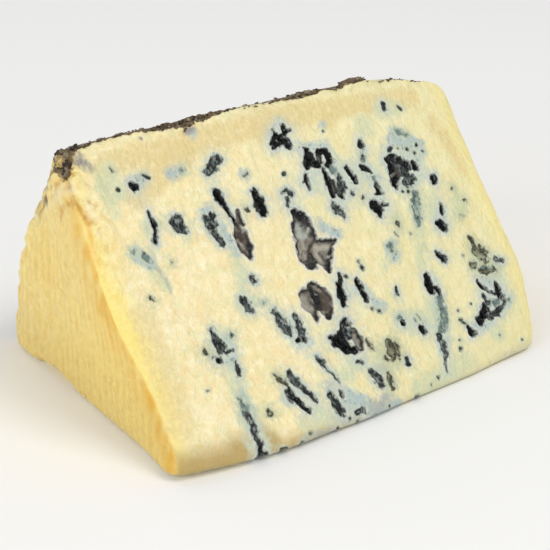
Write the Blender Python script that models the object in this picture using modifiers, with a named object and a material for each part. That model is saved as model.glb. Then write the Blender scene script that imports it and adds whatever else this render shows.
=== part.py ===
"""A wedge of blue cheese, lying on one of its two cut faces.

The wedge is a sector of a small upright wheel.  X runs along the wheel's axis, so the two ends
are the wheel's flat faces.  The wheel's centre line is the blunt front edge, the curved rind is
at the back, and the upper cut face climbs from the front edge to the rind.  Mould has opened
pockets in both cut faces.  Metres, +Z up, with the origin under the middle of the wedge.
"""

import math
import random

import bmesh
import bpy
from mathutils import Vector, noise
from mathutils.bvhtree import BVHTree

# Driving dimensions
WHEEL_RADIUS = 0.070
WHEEL_HEIGHT = 0.093
WEDGE_ANGLE = math.radians(50)
MM = 0.001

# Cross sections from the left end to the right end, as shares of the wheel's height
STATIONS = (-0.5, -0.36, -0.12, 0.12, 0.36, 0.5)
LAST = len(STATIONS) - 1

# How far the front edge and the top edge stand out from the true sector at each station
FRONT_REACH = (0.0, 4.0, 3.2, 0.0, -0.6, -2.4)
TOP_REACH = (0.3, 0.4, 0.2, -0.2, -0.5, -7.5)

# The corners of the grid in one section: name, share of the radius, share of the wedge angle
SECTION = {
    (0, 0): ("front", 0.0, 0.0),
    (1, 0): ("base", 0.5, 0.0),
    (2, 0): ("heel", 1.0, 0.0),
    (0, 1): ("face_low", 0.2, 1.0),
    (0, 2): ("face_middle", 0.5, 1.0),
    (1, 2): ("face_high", 0.8, 1.0),
    (2, 2): ("top", 1.0, 1.0),
    (2, 1): ("rind", 1.0, 0.5),
    (1, 1): ("core", 0.55, 0.5),
}

# The ends are not quite flat: how far each corner stands out along the axis
END_REACH = {
    0: {"face_low": 1.0, "face_middle": 2.0, "face_high": 1.0, "heel": 1.2, "rind": -0.5},
    LAST: {"front": -3.0, "face_low": 0.5, "face_middle": -0.9, "face_high": -0.5, "top": 1.0},
}
HEEL_REACH = 1.8

# Sharpness of the long edges in each span, and of the edges round the ends
FRONT_SHARPNESS = (0.6, 0.9, 1.3, 1.5, 1.2)
RIND_SHARPNESS = 4.0
END_SHARPNESS = 1.7
ROUNDING_LEVEL = 3
WELD_DISTANCE = 0.00006

# A crumb broken off the left end's lower edge, before the base is trimmed: centre; width, length
# and depth
CHIP_CENTRE = (-47.7, 50.0, 0.1)
CHIP_SIZE = (5.5, 13.0, 2.1)

# The base is pressed flat by the wedge's own weight, by this much
BASE_FLATTENING = 0.0003

# Crust lumps on the rind
LUMP_SIZE = 0.007
LUMP_HEIGHT = 0.0012

# Pockets in the upper cut face: place along the wedge, distance from the front edge,
# width, length up the face (all in millimetres) and lean in degrees
POCKETS = {
    "upper_left": (
        (-33.0, 49.5, 1.6, 6.0, 0), (-27.0, 49.2, 3.6, 4.0, 0), (-20.4, 47.8, 2.6, 4.0, 10),
        (-19.8, 43.8, 2.4, 4.4, 0), (-15.2, 58.8, 4.2, 2.4, 30), (-20.2, 30.0, 3.0, 3.4, 0),
    ),
    "long_split": ((-16.6, 51.6, 2.4, 6.0, 0), (-15.4, 43.6, 4.2, 10.5, -5)),
    "top_middle": (
        (1.8, 61.0, 5.0, 4.4, 15), (6.4, 55.0, 4.4, 4.8, 0), (10.2, 55.2, 4.2, 4.2, 0),
        (8.8, 49.8, 3.6, 7.0, 8), (11.8, 47.4, 2.8, 4.4, 0), (14.8, 49.5, 2.2, 4.2, 0),
    ),
    "middle": (
        (-8.6, 49.0, 3.2, 5.6, -8), (-2.5, 48.3, 2.2, 4.4, 25), (8.5, 43.0, 2.6, 3.2, 0),
        (20.0, 54.6, 2.2, 3.0, 0), (18.6, 41.6, 4.2, 3.8, 0), (20.0, 45.4, 2.2, 3.0, 0),
    ),
    "great_hollow": (
        (-0.8, 44.4, 2.4, 3.4, 0), (-0.9, 41.2, 4.8, 4.0, 0), (-1.0, 35.6, 8.6, 8.6, 10),
        (-3.2, 31.8, 2.4, 2.6, 0), (0.8, 31.6, 2.2, 2.4, 0),
    ),
    "right_cluster": (
        (26.2, 48.0, 3.6, 6.4, 0), (28.8, 48.6, 3.4, 3.8, 20), (27.4, 44.2, 4.6, 2.6, 0),
        (26.4, 52.2, 3.4, 2.4, 0), (31.7, 47.0, 2.0, 2.8, 0), (34.1, 43.4, 2.4, 2.4, 0),
        (31.7, 33.6, 2.2, 2.8, 0),
    ),
    "lower_left": (
        (-29.2, 24.6, 3.0, 5.6, 10), (-28.8, 12.4, 2.2, 4.4, 0), (-21.0, 11.0, 3.2, 3.0, 0),
        (-16.0, 12.4, 2.2, 4.0, 15), (-13.4, 24.5, 2.6, 6.0, 10), (-10.2, 22.8, 2.2, 5.6, 10),
        (-10.0, 4.6, 2.6, 3.2, 0),
    ),
    "low_hollows": ((-4.6, 26.4, 7.6, 8.0, 0), (-2.8, 16.0, 8.2, 6.2, 15)),
    "lower_right": (
        (1.8, 26.2, 2.6, 4.4, 0), (6.7, 26.0, 1.8, 4.4, 10), (8.0, 11.2, 4.2, 4.2, 0),
        (1.7, 7.4, 2.6, 4.0, 10), (5.0, 6.0, 2.4, 3.0, 0), (22.3, 21.8, 2.8, 5.4, 10),
        (24.0, 17.6, 1.8, 4.0, 0), (22.0, 13.0, 2.8, 2.8, 0),
    ),
    "right_edge": (
        (38.0, 25.4, 4.2, 4.8, 0), (38.4, 21.2, 4.4, 2.2, 0), (38.2, 16.6, 2.2, 3.8, 20),
        (32.6, 11.8, 5.2, 2.8, -25), (28.5, 9.8, 2.6, 2.2, 0),
    ),
}
DEPTH_PER_WIDTH = 0.75
RAGGEDNESS = 0.30
FINE_POCKET_AREA = 15.0 * MM * MM

# Pockets in the lower cut face, scattered clear of the edges and of the resting spot
BASE_POCKETS = 8
BASE_POCKET_SIZES = (2.6, 5.5)
BASE_CLEAR_RADIUS = 0.012
BASE_MARGIN = 0.012
BASE_SEED = 11


def clear_scene():
    for obj in list(bpy.data.objects):
        bpy.data.objects.remove(obj)


def new_collection(name):
    collection = bpy.data.collections.new(name)
    bpy.context.scene.collection.children.link(collection)
    return collection


def cheese_material():
    material = bpy.data.materials.new("cheese_paste")
    material.use_nodes = True
    shader = material.node_tree.nodes["Principled BSDF"]
    shader.inputs["Base Color"].default_value = (0.84, 0.76, 0.47, 1.0)
    shader.inputs["Roughness"].default_value = 0.45
    shader.inputs["Metallic"].default_value = 0.0
    return material


def section_corner(station, corner):
    """Place of one cage corner, with the wheel's centre line along X at the front."""
    name, share, turn = SECTION[corner]
    radius = share * WHEEL_RADIUS
    if name == "rind":
        # the smoothed surface passes inside a cage corner, so this one is set out
        radius = WHEEL_RADIUS * (6 - 2 * math.cos(WEDGE_ANGLE / 2)) / 4
    if name == "top":
        radius += TOP_REACH[station] * MM
    if name == "heel" and station == 0:
        radius += HEEL_REACH * MM
    angle = turn * WEDGE_ANGLE
    x = STATIONS[station] * WHEEL_HEIGHT
    outward = math.copysign(1.0, x)
    x += outward * END_REACH.get(station, {}).get(name, 0.0) * MM
    y = radius * math.cos(angle)
    if name == "front":
        y -= FRONT_REACH[station] * MM
    return Vector((x, y, radius * math.sin(angle)))


def edge_sharpness(first, second):
    """Sharpness of a cage edge between two grid places (station, across, up)."""
    if first[1:] == second[1:]:
        name = SECTION[first[1:]][0]
        if name == "front":
            return FRONT_SHARPNESS[min(first[0], second[0])]
        return RIND_SHARPNESS if name in ("heel", "top") else 0.0
    on_end = first[0] in (0, LAST)
    touches_core = (1, 1) in (first[1:], second[1:])
    return END_SHARPNESS if on_end and not touches_core else 0.0


def wedge_cage():
    """A cube cut into a grid, each corner of which is moved to its place in the wedge."""
    bm = bmesh.new()
    bmesh.ops.create_cube(bm, size=2.0)
    along = [e for e in bm.edges if abs(e.verts[0].co.x - e.verts[1].co.x) > 1]
    across = [e for e in bm.edges if e not in along]
    bmesh.ops.subdivide_edges(bm, edges=across, cuts=1, use_grid_fill=True)
    along = [e for e in bm.edges if abs(e.verts[0].co.x - e.verts[1].co.x) > 1]
    bmesh.ops.subdivide_edges(bm, edges=along, cuts=LAST - 1, use_grid_fill=True)

    places = {}
    for vert in bm.verts:
        station = round((vert.co.x + 1) / 2 * LAST)
        places[vert] = (station, round(vert.co.y + 1), round(vert.co.z + 1))
    for vert, (station, across, up) in places.items():
        vert.co = section_corner(station, (across, up))

    crease = bm.edges.layers.float.new("crease_edge")
    for edge in bm.edges:
        sharpness = edge_sharpness(*(places[vert] for vert in edge.verts))
        edge[crease] = math.sqrt(sharpness / 10)
    return bm


def rind_weight(point):
    """One on the rind, none on the cut faces and the ends."""
    radius = math.hypot(point.y, point.z)
    from_rind = min(1.0, max(0.0, (radius / WHEEL_RADIUS - 0.93) / 0.05))
    above_base = min(1.0, point.z / 0.006)
    return from_rind * above_base


def add_body(collection, material):
    mesh = bpy.data.meshes.new("cheese_wedge")
    bm = wedge_cage()
    bm.to_mesh(mesh)
    bm.free()
    body = bpy.data.objects.new("cheese_wedge", mesh)
    collection.objects.link(body)
    mesh.materials.append(material)

    rind = body.vertex_groups.new(name="rind")
    for vert in mesh.vertices:
        rind.add([vert.index], rind_weight(vert.co), "REPLACE")

    rounding = body.modifiers.new("Rounding", "SUBSURF")
    rounding.levels = ROUNDING_LEVEL
    rounding.render_levels = ROUNDING_LEVEL
    rounding.boundary_smooth = "PRESERVE_CORNERS"

    lumps = bpy.data.textures.new("crust_lumps", "CLOUDS")
    lumps.noise_scale = LUMP_SIZE
    crust = body.modifiers.new("Crust", "DISPLACE")
    crust.texture = lumps
    crust.strength = LUMP_HEIGHT
    crust.mid_level = 0.6
    crust.vertex_group = "rind"
    return body


def surface_point(tree, place, outward):
    """Where a line through a place, along the face's normal, meets the rounded body."""
    start = place + outward * 0.01
    hit = tree.ray_cast(start, -outward)[0]
    return hit if hit is not None else place


def add_pocket(collection, name, centre, axes, size):
    """A ragged blob, sunk a little so that its widest ring opens at the surface."""
    across, along, outward = axes
    width, length, depth = size
    bm = bmesh.new()
    detail = 2 if width * length > FINE_POCKET_AREA else 1
    bmesh.ops.create_icosphere(bm, subdivisions=detail, radius=1.0)
    seed = Vector((centre.x, centre.y, centre.z)) * 300
    for vert in bm.verts:
        swell = 1 + RAGGEDNESS * noise.noise(vert.co * 1.6 + seed)
        shape = vert.co * swell
        vert.co = centre + across * (shape.x * width / 2) + along * (shape.y * length / 2)
        vert.co += outward * (shape.z * depth)
    mesh = bpy.data.meshes.new(name)
    bm.to_mesh(mesh)
    bm.free()
    pocket = bpy.data.objects.new(name, mesh)
    pocket.hide_render = True
    pocket.display_type = "WIRE"
    collection.objects.link(pocket)


def add_face_pockets(collection, tree):
    up_face = Vector((0, math.cos(WEDGE_ANGLE), math.sin(WEDGE_ANGLE)))
    outward = Vector((0, -math.sin(WEDGE_ANGLE), math.cos(WEDGE_ANGLE)))
    for group, rows in POCKETS.items():
        for number, (x, climb, width, length, lean) in enumerate(rows, start=1):
            place = Vector((x * MM, 0, 0)) + up_face * climb * MM
            centre = surface_point(tree, place, outward)
            turn = math.radians(lean)
            across = Vector((math.cos(turn), 0, 0)) - up_face * math.sin(turn)
            along = outward.cross(across)
            depth = DEPTH_PER_WIDTH * min(width, length)
            size = (width * MM, length * MM, depth * MM)
            add_pocket(collection, f"{group}_{number}", centre, (across, along, outward), size)


def add_base_pockets(collection, resting_spot):
    rng = random.Random(BASE_SEED)
    placed = [(resting_spot, BASE_CLEAR_RADIUS)]
    while len(placed) <= BASE_POCKETS:
        half = WHEEL_HEIGHT / 2 - BASE_MARGIN
        x = rng.uniform(-half, half)
        y = rng.uniform(BASE_MARGIN, WHEEL_RADIUS - BASE_MARGIN)
        width = rng.uniform(*BASE_POCKET_SIZES) * MM
        length = width * rng.uniform(0.9, 1.6)
        turn = rng.uniform(0, math.pi)
        centre = Vector((x, y, 0))
        if any((centre - other).length < gap + length for other, gap in placed):
            continue
        across = Vector((math.cos(turn), math.sin(turn), 0))
        outward = Vector((0, 0, -1))
        axes = (across, outward.cross(across), outward)
        size = (width, length, DEPTH_PER_WIDTH * width)
        add_pocket(collection, f"base_{len(placed)}", centre, axes, size)
        placed.append((centre, length))


def add_base_chip(collection):
    """A crumb broken off where the left end meets the base."""
    centre = Vector(CHIP_CENTRE) * MM
    axes = (Vector((1, 0, 0)), Vector((0, 1, 0)), Vector((0, 0, 1)))
    size = [length * MM for length in CHIP_SIZE]
    add_pocket(collection, "base_chip", centre, axes, size)


def add_base_trim(collection):
    """A block whose top face cuts the rounded underside off flat."""
    mesh = bpy.data.meshes.new("base_trim")
    bm = bmesh.new()
    bmesh.ops.create_cube(bm, size=0.2)
    bmesh.ops.translate(bm, verts=bm.verts, vec=(0, 0, BASE_FLATTENING - 0.1))
    bm.to_mesh(mesh)
    bm.free()
    trim = bpy.data.objects.new("base_trim", mesh)
    trim.hide_render = True
    trim.display_type = "WIRE"
    collection.objects.link(trim)


def build():
    clear_scene()
    parts = new_collection("blue_cheese_wedge")
    cutters = new_collection("mould_pockets")
    body = add_body(parts, cheese_material())

    depsgraph = bpy.context.evaluated_depsgraph_get()
    corners = [vert.co for vert in body.evaluated_get(depsgraph).data.vertices]
    middle = [(min(c[i] for c in corners) + max(c[i] for c in corners)) / 2 for i in (0, 1)]
    tree = BVHTree.FromObject(body, depsgraph)
    add_face_pockets(cutters, tree)
    add_base_pockets(cutters, Vector((middle[0], middle[1], 0)))
    add_base_chip(cutters)
    add_base_trim(cutters)

    for obj in [body, *cutters.objects]:
        for vert in obj.data.vertices:
            vert.co -= Vector((middle[0], middle[1], BASE_FLATTENING))

    opening = body.modifiers.new("Pockets", "BOOLEAN")
    opening.operation = "DIFFERENCE"
    opening.solver = "EXACT"
    opening.operand_type = "COLLECTION"
    opening.collection = cutters

    tidy = body.modifiers.new("Tidy", "WELD")
    tidy.merge_threshold = WELD_DISTANCE
    body.data.shade_smooth()


build()
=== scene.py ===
import math
import random

import bmesh
import bpy
import numpy as np
from mathutils import Euler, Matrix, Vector, noise
from mathutils.bvhtree import BVHTree


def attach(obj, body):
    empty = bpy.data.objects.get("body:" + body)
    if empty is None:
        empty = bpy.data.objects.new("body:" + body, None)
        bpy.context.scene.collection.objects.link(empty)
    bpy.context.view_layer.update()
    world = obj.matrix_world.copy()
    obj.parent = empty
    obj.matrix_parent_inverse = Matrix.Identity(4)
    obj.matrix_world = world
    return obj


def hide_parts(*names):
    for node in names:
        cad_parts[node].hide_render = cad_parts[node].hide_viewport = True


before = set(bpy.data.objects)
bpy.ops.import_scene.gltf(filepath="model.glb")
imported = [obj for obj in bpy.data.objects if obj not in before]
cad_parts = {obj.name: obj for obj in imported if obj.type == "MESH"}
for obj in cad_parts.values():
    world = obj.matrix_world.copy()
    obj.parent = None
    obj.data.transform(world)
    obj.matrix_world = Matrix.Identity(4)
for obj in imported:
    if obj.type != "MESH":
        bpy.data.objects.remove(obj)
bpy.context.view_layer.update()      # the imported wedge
mm = 0.001
noise.seed_set(3)        # the noise vectors would differ from run to run

# Camera

view = {
    "azimuth": -34.56,      # degrees, from the front towards the left end
    "elevation": 26.78,
    "distance": 0.3277,
    "aim": (-0.0047, -0.0040, 0.0202),
    "lens": 104.4,
}


def addCamera():
    turn = math.radians(view["azimuth"])
    lift = math.radians(view["elevation"])
    back = Vector((math.sin(turn) * math.cos(lift), -math.cos(turn) * math.cos(lift), math.sin(lift)))
    data = bpy.data.cameras.new("camera")
    data.lens = view["lens"]
    data.clip_start = 0.01
    camera = bpy.data.objects.new("camera", data)
    camera.location = Vector(view["aim"]) + back * view["distance"]
    camera.rotation_euler = back.to_track_quat("Z", "Y").to_euler()
    bpy.context.scene.collection.objects.link(camera)
    bpy.context.scene.camera = camera


# The wedge: a sector of an upright wheel, with the wheel's centre line along X at the front edge.
# Lengths here are in millimetres until the mesh is finished.

wedge = {
    "radius": 70.0,
    "height": 93.0,
    "angle": math.radians(50),
    "stations": (-0.5, -0.36, -0.12, 0.12, 0.36, 0.5),      # shares of the height, left to right
    "frontReach": (0.0, 4.0, 3.2, 0.0, -0.6, -2.4),
    "topReach": (0.3, 0.4, 0.2, -0.2, -0.5, -7.5),
    "heelReach": 1.8,
    "leftReach": {"faceLow": 1.0, "faceMiddle": 2.0, "faceHigh": 1.0, "heel": 1.2, "rind": -0.5},
    "rightReach": {"front": -3.0, "faceLow": 0.5, "faceMiddle": -0.9, "faceHigh": -0.5, "top": 1.0},
    "frontSharpness": (0.6, 0.9, 1.3, 1.5, 1.2),
    "rindSharpness": 4.0,
    "endSharpness": 1.7,
    "fullSharpness": 10,      # the sharpness that a crease of 1 stands for
    "level": 5,
    "flattening": 0.3,      # pressed off the underside
    "middle": (-0.45, 35.46),
    "chip": ((-47.7, 51.0, 0.1), (3.6, 9.0, 3.0)),      # a crumb broken off the left end's foot
    "pushes": (      # place, size and push of small dents and swells
        ((-47, 58, 39.5), (5, 10, 11), (2, 0, 0)),
        ((-47.5, 22, 0.5), (4, 12, 4), (0.5, 0, 0)),
        ((-47.6, 64, 1), (4, 5, 4), (-0.9, 0, 0)),
        ((-46, 5, 1), (5, 8, 3.5), (-1, 0, 0)),
        ((-47, 12, 15.5), (4, 12, 10), (1.2, 0, 0)),
        ((45, 14, 17), (5, 8, 9), (1.3, 0, 0)),
        ((42, -1, 2), (5, 4, 4), (0, -1, 0)),
        ((31, -1, 1.5), (5, 4, 4), (0, 0.5, 0)),
    ),
}

# each corner of the cage's cross section: name, share of the radius, and share of the wedge's angle
section = {
    (0, 0): ("front", 0.0, 0.0),
    (1, 0): ("base", 0.5, 0.0),
    (2, 0): ("heel", 1.0, 0.0),
    (0, 1): ("faceLow", 0.2, 1.0),
    (0, 2): ("faceMiddle", 0.5, 1.0),
    (1, 2): ("faceHigh", 0.8, 1.0),
    (2, 2): ("top", 1.0, 1.0),
    (2, 1): ("rind", 1.0, 0.5),
    (1, 1): ("core", 0.55, 0.5),
}

last = len(wedge["stations"]) - 1
upFace = np.array((0.0, math.cos(wedge["angle"]), math.sin(wedge["angle"])))
offFace = np.array((0.0, -math.sin(wedge["angle"]), math.cos(wedge["angle"])))


def facePlace(x, climb):
    # a place on the upper cut face before it is rounded
    return np.array((x, 0.0, 0.0)) + upFace * climb


def cornerPlace(station, corner):
    name, share, turn = section[corner]
    radius = share * wedge["radius"]
    x = wedge["stations"][station] * wedge["height"]
    if name == "rind":
        # the smoothed surface passes inside a cage corner
        radius = wedge["radius"] * (6 - 2 * math.cos(wedge["angle"] / 2)) / 4
    if name == "top":
        radius += wedge["topReach"][station]
    if name == "heel" and station == 0:
        radius += wedge["heelReach"]
    if station == 0:
        x -= wedge["leftReach"].get(name, 0.0)
    if station == last:
        x += wedge["rightReach"].get(name, 0.0)
    y = radius * math.cos(turn * wedge["angle"])
    if name == "front":
        y -= wedge["frontReach"][station]
    return Vector((x, y, radius * math.sin(turn * wedge["angle"])))


def edgeSharpness(first, second):
    if first[1:] == second[1:]:
        name = section[first[1:]][0]
        if name == "front":
            return wedge["frontSharpness"][min(first[0], second[0])]
        return wedge["rindSharpness"] if name in ("heel", "top") else 0.0
    onEnd = first[0] in (0, last)
    touchesCore = (1, 1) in (first[1:], second[1:])
    return wedge["endSharpness"] if onEnd and not touchesCore else 0.0


def edgesAlong(bm):
    return [edge for edge in bm.edges if abs(edge.verts[0].co.x - edge.verts[1].co.x) > 1]


def wedgeCage():
    bm = bmesh.new()
    bmesh.ops.create_cube(bm, size=2.0)
    along = edgesAlong(bm)
    across = [edge for edge in bm.edges if edge not in along]
    bmesh.ops.subdivide_edges(bm, edges=across, cuts=1, use_grid_fill=True)
    bmesh.ops.subdivide_edges(bm, edges=edgesAlong(bm), cuts=last - 1, use_grid_fill=True)
    places = {}
    for vert in bm.verts:
        station = round((vert.co.x + 1) / 2 * last)
        places[vert] = (station, round(vert.co.y + 1), round(vert.co.z + 1))
    for vert, (station, across, up) in places.items():
        vert.co = cornerPlace(station, (across, up))
    crease = bm.edges.layers.float.new("crease_edge")
    for edge in bm.edges:
        sharpness = edgeSharpness(*(places[vert] for vert in edge.verts))
        edge[crease] = math.sqrt(sharpness / wedge["fullSharpness"])
    return bm


def smoothWedge():
    mesh = bpy.data.meshes.new("wedgeCage")
    bm = wedgeCage()
    bm.to_mesh(mesh)
    bm.free()
    cage = bpy.data.objects.new("wedgeCage", mesh)
    bpy.context.scene.collection.objects.link(cage)
    rounding = cage.modifiers.new("rounding", "SUBSURF")
    rounding.levels = wedge["level"]
    rounding.render_levels = wedge["level"]
    rounding.boundary_smooth = "PRESERVE_CORNERS"
    rounding.use_limit_surface = False
    smooth = bpy.data.meshes.new_from_object(cage.evaluated_get(bpy.context.evaluated_depsgraph_get()))
    bpy.data.objects.remove(cage)
    return smooth


# Mould and stains on the upper cut face, by kind. A stroke is a row of rounds, and each round takes
# three numbers: place along the wedge, distance up from the front edge, and width. These are in
# tenths of a millimetre.

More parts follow.
